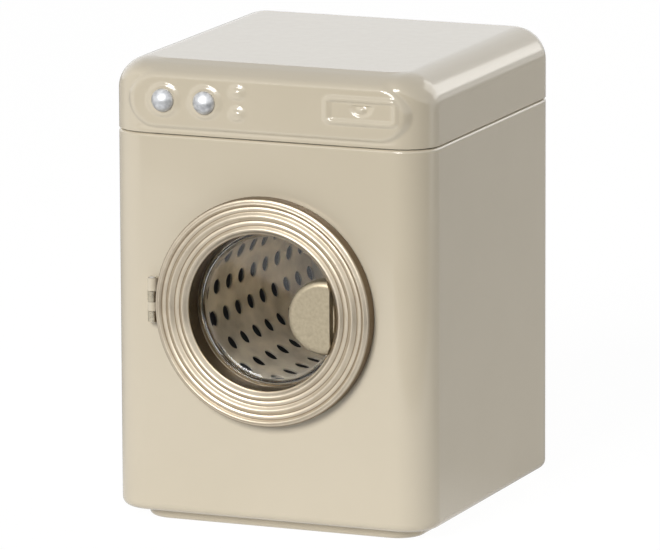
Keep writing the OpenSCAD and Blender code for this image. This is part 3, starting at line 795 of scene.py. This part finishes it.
# ---------------------------------------------------------------- door ring
# An injection moulding with five rounded beads on its face and a deep throat,
# lacquered in satin champagne gold. Its hollow back takes the backing plate.
ring_r = 27.0 * mm
ring_out = 3.3 * mm
ring_gap = 0.35 * mm
throat_r = 18.5 * mm
throat_back = -2.3 * mm
socket_back = -4.5 * mm
hollow_out = 2.4 * mm
shoulder_r, shoulder_drop = 0.5 * mm, 0.8 * mm
hollow_r = (20.9 * mm, 25.4 * mm)
socket_step, socket_wall = 0.6 * mm, 1.1 * mm
knuckle_room_r, knuckle_room_length, knuckle_rise = 1.6 * mm, 12.5 * mm, 0.95 * mm
ring_swell = (
    # crests and grooves from the rim inwards: distance inside the rim, height of the surface
    (0.5, 0.0), (1.2, 0.6), (1.85, 0.08), (2.45, 0.2), (3.0, 0.05), (4.05, 0.8), (5.1, 0.08),
    (5.75, 0.2), (6.3, 0.05), (7.2, 0.65), (8.5, -0.4))
painted_shade_lines = (
    # distance inside the rim, and how far the painted shade line reaches before and after it
    (1.85, 0.25, 0.25), (3.0, 0.15, 0.25), (5.1, 0.2, 0.25), (6.3, 0.15, 0.3))
# painted shade: brown lines at the rim and in the grooves, and a darker throat, multiplied into the
# lacquer's colour
rim_line, throat_shade_start = 0.5, 8.2
unshaded_tone = (1.0, 1.0, 1.0)
painted_groove_shade = (0.30, 0.24, 0.17)
painted_throat_shade = (0.24, 0.19, 0.12)
door_centre = Vector((0, y_face, door_z))
hinge_x = -28.2 * mm
hinge_y = y_face - 1.5 * mm

gold = finish_material(
    "champagne_lacquer", tone=(0.60, 0.53, 0.42), other_tone=(0.54, 0.47, 0.37), patch_scale=260,
    grain_scale=2400, gloss=(0.36, 0.46), bump=0.28, bump_depth=0.02 * mm, Metallic=0.95)


def paint_groove_shade(material):
    """Paints shade into the lacquer's colour: a dark line at the rim, dark lines in the grooves and a
    darker throat.
    """
    nodes, links = material.node_tree.nodes, material.node_tree.links
    shader = nodes["Principled BSDF"]
    colour = shader.inputs["Base Color"].links[0].from_socket
    place = nodes.new("ShaderNodeTexCoord")
    offset = nodes.new("ShaderNodeVectorMath")
    offset.operation = "SUBTRACT"
    offset.inputs[1].default_value = door_centre
    links.new(place.outputs["Object"], offset.inputs[0])
    flat = nodes.new("ShaderNodeVectorMath")
    flat.operation = "MULTIPLY"
    flat.inputs[1].default_value = (1, 0, 1)
    links.new(offset.outputs[0], flat.inputs[0])
    radius = nodes.new("ShaderNodeVectorMath")
    radius.operation = "LENGTH"
    links.new(flat.outputs[0], radius.inputs[0])
    across = nodes.new("ShaderNodeMapRange")
    across.inputs["From Min"].default_value = ring_r
    across.inputs["From Max"].default_value = throat_r
    links.new(radius.outputs["Value"], across.inputs["Value"])
    ramp = nodes.new("ShaderNodeValToRGB")
    stops = ramp.color_ramp.elements
    width = (ring_r - throat_r) / mm
    stops[0].position = 0.0
    stops[0].color = (*painted_groove_shade, 1)
    stops[1].position = 1.0
    stops[1].color = (*painted_throat_shade, 1)
    tones = [(rim_line, unshaded_tone), (throat_shade_start, unshaded_tone)]
    for inside, before, after in painted_shade_lines:
        tones += [(inside - before, unshaded_tone), (inside, painted_groove_shade), (inside + after, unshaded_tone)]
    for inside, tone in tones:
        stop = stops.new(inside / width)
        stop.color = (*tone, 1)
    links.new(across.outputs[0], ramp.inputs["Fac"])
    shaded = nodes.new("ShaderNodeMix")
    shaded.data_type = "RGBA"
    shaded.blend_type = "MULTIPLY"
    shaded.inputs["Factor"].default_value = 1.0
    links.new(colour, shaded.inputs["A"])
    links.new(ramp.outputs["Color"], shaded.inputs["B"])
    links.new(shaded.outputs["Result"], shader.inputs["Base Color"])


def swelling(knots, steps):
    """Points of a surface that rises and falls smoothly from knot to knot."""
    points = []
    for (inside, height), (next_inside, next_height) in zip(knots, knots[1:]):
        for step in range(1, steps + 1):
            part = step / steps
            rise = (1 - math.cos(math.pi * part)) / 2
            points.append((ring_r - (inside + (next_inside - inside) * part) * mm,
                           ring_out + (height + (next_height - height) * rise) * mm))
    return points


# painted shade in the ring's rim line, grooves and throat
paint_groove_shade(gold)


def make_ring():
    bend = [math.radians(a) for a in range(0, 91, 15)]
    shoulder = [(ring_r - shoulder_r * (1 - math.cos(a)), ring_out - shoulder_drop * (1 - math.sin(a)))
                for a in bend]
    back = [(throat_r, throat_back), (throat_r + socket_step, throat_back),
            (throat_r + socket_step, socket_back), (throat_r + socket_wall, socket_back),
            (throat_r + socket_wall, ring_gap), (hollow_r[0], ring_gap), (hollow_r[0], hollow_out),
            (hollow_r[1], hollow_out), (hollow_r[1], ring_gap)]
    ring = turn_profile("door_ring_moulding",
                        [(ring_r, ring_gap), *shoulder, *swelling(ring_swell, 8), *back],
                        door_centre, steps=160)
    knuckles = Vector((hinge_x, hinge_y, door_z + knuckle_rise))
    cut_with(ring, round_cutter(knuckle_room_r, knuckles, knuckle_room_length, axis="Z", steps=40))
    smooth(ring, 50)
    paint(ring, gold)
    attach(ring, "door")
    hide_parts("door_ring")


make_ring()

# ---------------------------------------------------------------- window
# A shallow dish vacuum-formed in clear plastic. It sits in the ring's socket,
# a little askew, held by a glued retaining ring. Its floor sags towards the drum.
bowl_r = 18.0 * mm
bowl_back = -5.6 * mm
bowl_sag = 0.45 * mm
bowl_sheet = 0.7 * mm
bowl_lean = math.tan(math.radians(2.6))
bowl_corner_r = 1.2 * mm
flange_r = throat_r + 0.55 * mm
flange_front = throat_back - 0.05 * mm
flange_back = flange_front - 1.0 * mm
rim_step, rim_line_depth = 0.25 * mm, 0.08 * mm


def clear_plastic():
    material = finish_material(
        "clear_plastic", tone=(0.96, 0.975, 0.98), other_tone=(0.99, 0.99, 1.0), patch_scale=60,
        grain_scale=240, gloss=(0.01, 0.03), bump=0.01, bump_depth=0.005 * mm,
        Transmission_Weight=1.0, IOR=1.45, Specular_IOR_Level=1.0)
    nodes, links = material.node_tree.nodes, material.node_tree.links
    out = nodes["Material Output"]
    shader = nodes["Principled BSDF"]
    path = nodes.new("ShaderNodeLightPath")
    let_through = nodes.new("ShaderNodeBsdfTransparent")
    let_through.inputs["Color"].default_value = (0.93, 0.93, 0.93, 1)
    mix = nodes.new("ShaderNodeMixShader")
    links.new(path.outputs["Is Shadow Ray"], mix.inputs[0])
    links.new(shader.outputs[0], mix.inputs[1])
    links.new(let_through.outputs[0], mix.inputs[2])
    links.new(mix.outputs[0], out.inputs["Surface"])
    return material


def make_window():
    corner = bowl_corner_r
    inner_corner = corner - bowl_sheet
    bend = [math.radians(a) for a in range(0, 91, 15)]
    flat_r = bowl_r - 0.3 * mm - corner
    floor_out = bowl_back + bowl_sag
    sag = [(flat_r * i / 16, floor_out - bowl_sag * (1 - (i / 16) ** 2)) for i in range(17)]
    outer_bend = [(flat_r + corner * math.sin(a), floor_out + corner * (1 - math.cos(a)))
                  for a in bend[1:]]
    inner_sag = [(r, out + bowl_sheet) for r, out in sag]
    inner_bend = [(flat_r + inner_corner * math.sin(a), floor_out + corner - inner_corner * math.cos(a))
                  for a in bend[1:]]
    # two fine forming lines run round the rim
    rim = [(bowl_r - bowl_sheet + step * rim_step, flange_front - rim_line_depth * (step % 2))
           for step in range(5)]
    profile = [*inner_sag, *inner_bend, *rim, (flange_r, flange_front),
               (flange_r, flange_back), (bowl_r, flange_back), *reversed(outer_bend), *reversed(sag)]
    bowl = turn_profile("window_bowl", profile, door_centre, steps=128, closed=False)
    for vertex in bowl.data.vertices:
        behind_flange = vertex.co.y - y_face + flange_back
        if behind_flange > 0.0:
            vertex.co.y += bowl_lean * (vertex.co.z - door_z) * min(behind_flange / mm, 1.0)
    smooth(bowl, 40)
    paint(bowl, clear_plastic())
    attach(bowl, "door")
    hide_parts("door_window")


make_window()
refinish("window_retainer", gold)

# ---------------------------------------------------------------- handle
# A half-moon finger grip moulded apart and glued inside the ring's throat. A
# deep groove parts its rounded face from a thin lip that meets the ring.
handle_r = 8.8 * mm
handle_x = 15.3 * mm
handle_front = ring_out + 0.5 * mm
handle_back = -0.6 * mm
handle_edge_r = 1.5 * mm
face_edge_r = 1.15 * mm
slot_x = 17.25 * mm
slot_depth = 2.6 * mm
lip_x = 18.2 * mm

handle_gold = finish_material(
    "sanded_champagne", tone=(0.43, 0.37, 0.265), other_tone=(0.36, 0.31, 0.22), patch_scale=1300,
    grain_scale=1700, gloss=(0.40, 0.5), bump=0.32, bump_depth=0.03 * mm, Metallic=0.85)


def make_handle():
    edge = [math.radians(a) for a in range(0, 91, 10)]
    face = [(handle_r - handle_edge_r + handle_edge_r * math.cos(a),
             handle_front - handle_edge_r + handle_edge_r * math.sin(a)) for a in edge]
    profile = [(0, handle_back), (handle_r, handle_back), *face, (0, handle_front)]
    middle = Vector((handle_x, y_face, door_z))
    grip = turn_profile("half_moon_grip", profile, middle, steps=120, closed=False)
    front = y_face - handle_front
    slot = start_box("grip_slot", Vector((slot_x, front - 1 * mm, door_z - 15 * mm)),
                     Vector((lip_x, front + slot_depth, door_z + 15 * mm)))
    bpy.ops.object.mode_set(mode="OBJECT")
    cut_with(grip, slot)
    cut_with(grip, round_cutter(throat_r - 0.02 * mm, door_centre, 20 * mm, steps=256), "INTERSECT")
    # the face's edge along the groove is rounded over
    grip_edge = Vector((slot_x, front, 0))
    bpy.ops.object.mode_set(mode="EDIT")
    select_in_mesh(grip, "edges", lambda e: all(
        (v.co - grip_edge).xy.length < 0.05 * mm for v in e.verts))
    bpy.ops.mesh.bevel(offset=face_edge_r, segments=8, affect="EDGES", clamp_overlap=True)
    bpy.ops.object.mode_set(mode="OBJECT")
    smooth(grip, 45)
    paint(grip, handle_gold)
    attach(grip, "door")
    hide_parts("door_handle")


make_handle()

# ---------------------------------------------------------------- hinge
# Two leaves with interleaved knuckles on one steel pin. The cabinet's leaf is
# enamelled with it, the door's leaf is plated, and the pin is bright steel.
bright_steel = finish_material(
    "bright_steel", tone=(0.66, 0.64, 0.60), other_tone=(0.52, 0.50, 0.46), patch_scale=500,
    grain_scale=2000, gloss=(0.22, 0.38), bump=0.2, bump_depth=0.02 * mm, Metallic=1.0)
warm_plate = finish_material(
    "warm_plated_steel", tone=(0.60, 0.54, 0.42), other_tone=(0.48, 0.43, 0.33), patch_scale=500,
    grain_scale=2000, gloss=(0.25, 0.4), bump=0.2, bump_depth=0.02 * mm, Metallic=1.0)
refinish("hinge_leaf_cabinet", enamel)
refinish("hinge_leaf_door", warm_plate)
for node in ("hinge_pin", "hinge_rivets_cabinet", "hinge_rivets_door", "door_screws", "door_magnet"):
    refinish(node, bright_steel)
refinish("door_backing", tinned)

# ---------------------------------------------------------------- drum
# A sleeve of curved panels of perforated steel, with the burr of each punched
# hole turned outwards. A rolled hoop stiffens its mouth and a plate closes its end.
drum_r = 20.0 * mm
drum_sheet = 0.5 * mm
drum_front = 6.0 * mm
drum_end = 76.0 * mm
hole_r = 1.75 * mm
hole_rows = 18
holes_per_row = 9
hole_pitch = 7.35 * mm
first_hole = drum_front + 4.2 * mm
first_row_turn = math.radians(177)
hole_sides = 16
burr_height = 0.14 * mm
burr_rings = ((1.05, 0.04), (1.12, 0.07), (1.12, 0.03))
weld = 0.03 * mm

drum_steel = finish_material(
    "dull_drum_steel", tone=(0.94, 0.85, 0.69), other_tone=(0.56, 0.50, 0.40), patch_scale=170,
    grain_scale=700, gloss=(0.32, 0.5), bump=0.2, bump_depth=0.03 * mm,
    stretch=(1, 0.6, 1), Metallic=0.6)


def punch_tile():
    """One flat tile of the sheet, a row's step by a hole's pitch, with a punched hole in it.

    It lies in X and Y: X goes round the drum, Y goes back along it. The points of
    its edges lie a quarter of the tile apart, so that shifted rows still meet.
    """
    step = 2 * math.pi * drum_r / hole_rows
    deselect_objects()
    bpy.ops.mesh.primitive_circle_add(vertices=hole_sides, radius=hole_r, fill_type="NOTHING")
    tile = bpy.context.object
    tile.name = "drum_sleeve"
    bpy.ops.object.mode_set(mode="EDIT")
    bpy.ops.mesh.select_mode(type="VERT")
    bpy.ops.mesh.select_all(action="SELECT")
    # the burr's lip, then the flat land out to the tile's edge
    bpy.ops.transform.translate(value=(0, 0, -burr_height))
    for grow, lift in burr_rings:
        bpy.ops.mesh.extrude_region_move(TRANSFORM_OT_translate={"value": (0, 0, lift * mm)})
        bpy.ops.transform.resize(value=(grow, grow, 1), center_override=(0, 0, 0))
    bpy.ops.mesh.extrude_region_move(TRANSFORM_OT_translate={"value": (0, 0, 0)})
    shape = bmesh.from_edit_mesh(tile.data)
    for vertex in shape.verts:
        if vertex.select:
            eighth = round(math.atan2(vertex.co.y, vertex.co.x) / (math.pi / 8))
            along_side = [0, 0.5, 1, 1, 1, 1, 1, 0.5]
            sign_y = 1 if eighth % 16 < 8 else -1
            sign_x = 1 if (eighth + 4) % 16 < 8 else -1
            vertex.co.x = sign_x * along_side[(eighth + 4) % 8] * step / 2
            vertex.co.y = sign_y * along_side[eighth % 8] * hole_pitch / 2
    bmesh.update_edit_mesh(tile.data)
    bpy.ops.object.mode_set(mode="OBJECT")
    return tile


def make_sleeve():
    tile = punch_tile()
    apply_modifier(tile, "ARRAY", count=holes_per_row, use_relative_offset=False,
                   use_constant_offset=True, constant_offset_displace=(0, hole_pitch, 0),
                   use_merge_vertices=True, merge_threshold=0.02 * mm)
    # plain lands in front of the first hole and behind the last one
    make_active(tile)
    bpy.ops.object.mode_set(mode="EDIT")
    for edge_y, side, quarters in ((-0.5, -1, 3), (holes_per_row - 0.5, 1, 2)):
        end = edge_y * hole_pitch
        select_in_mesh(tile, "edges", lambda e: all(abs(v.co.y - end) < tiny for v in e.verts))
        for _ in range(quarters):
            bpy.ops.mesh.extrude_region_move(
                TRANSFORM_OT_translate={"value": (0, side * hole_pitch / 4, 0)})
    bpy.ops.object.mode_set(mode="OBJECT")
    strips = [tile]
    for _ in range(hole_rows - 1):
        copy = tile.copy()
        copy.data = tile.data.copy()
        bpy.context.scene.collection.objects.link(copy)
        strips.append(copy)
    for row, strip in enumerate(strips):
        start = first_hole + (row % 2) * hole_pitch / 2
        turn = first_row_turn + row * 2 * math.pi / hole_rows
        for vertex in strip.data.vertices:
            along = min(max(vertex.co.y + start, drum_front), drum_end)
            angle = turn + vertex.co.x / drum_r
            radius = drum_r - vertex.co.z
            place = Vector((radius * math.cos(angle), along, radius * math.sin(angle)))
            vertex.co = door_centre + place
    join(*strips)
    bpy.ops.object.mode_set(mode="EDIT")
    bpy.ops.mesh.select_all(action="SELECT")
    bpy.ops.mesh.remove_doubles(threshold=weld)
    bpy.ops.mesh.normals_make_consistent(inside=False)
    bpy.ops.object.mode_set(mode="OBJECT")
    return tile


def make_drum():
    sleeve = make_sleeve()
    apply_modifier(sleeve, "SOLIDIFY", thickness=drum_sheet, offset=0.98, use_even_offset=True)
    make_active(sleeve)
    bpy.ops.object.shade_smooth_by_angle(angle=math.radians(40))
    paint(sleeve, drum_steel)
    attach(sleeve, "drum")
    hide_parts("drum_wall")


make_drum()
for node in ("drum_hoop", "drum_back", "drum_hub"):
    refinish(node, drum_steel)
for node in ("hub_rivets", "drum_axle", "axle_spacer", "bracket_rivets"):
    refinish(node, bright_steel)
for node in ("axle_clip", "drum_bracket"):
    refinish(node, tinned)

# ---------------------------------------------------------------- bush
# A turned nylon bush, pushed into the bracket, that the drum's axle runs in.
nylon = finish_material(
    "natural_nylon", tone=(0.72, 0.69, 0.62), other_tone=(0.66, 0.63, 0.56), patch_scale=300,
    grain_scale=1200, gloss=(0.42, 0.55), bump=0.1, bump_depth=0.02 * mm, Subsurface_Weight=0.1,
    Subsurface_Scale=0.002)
refinish("axle_bush", nylon)
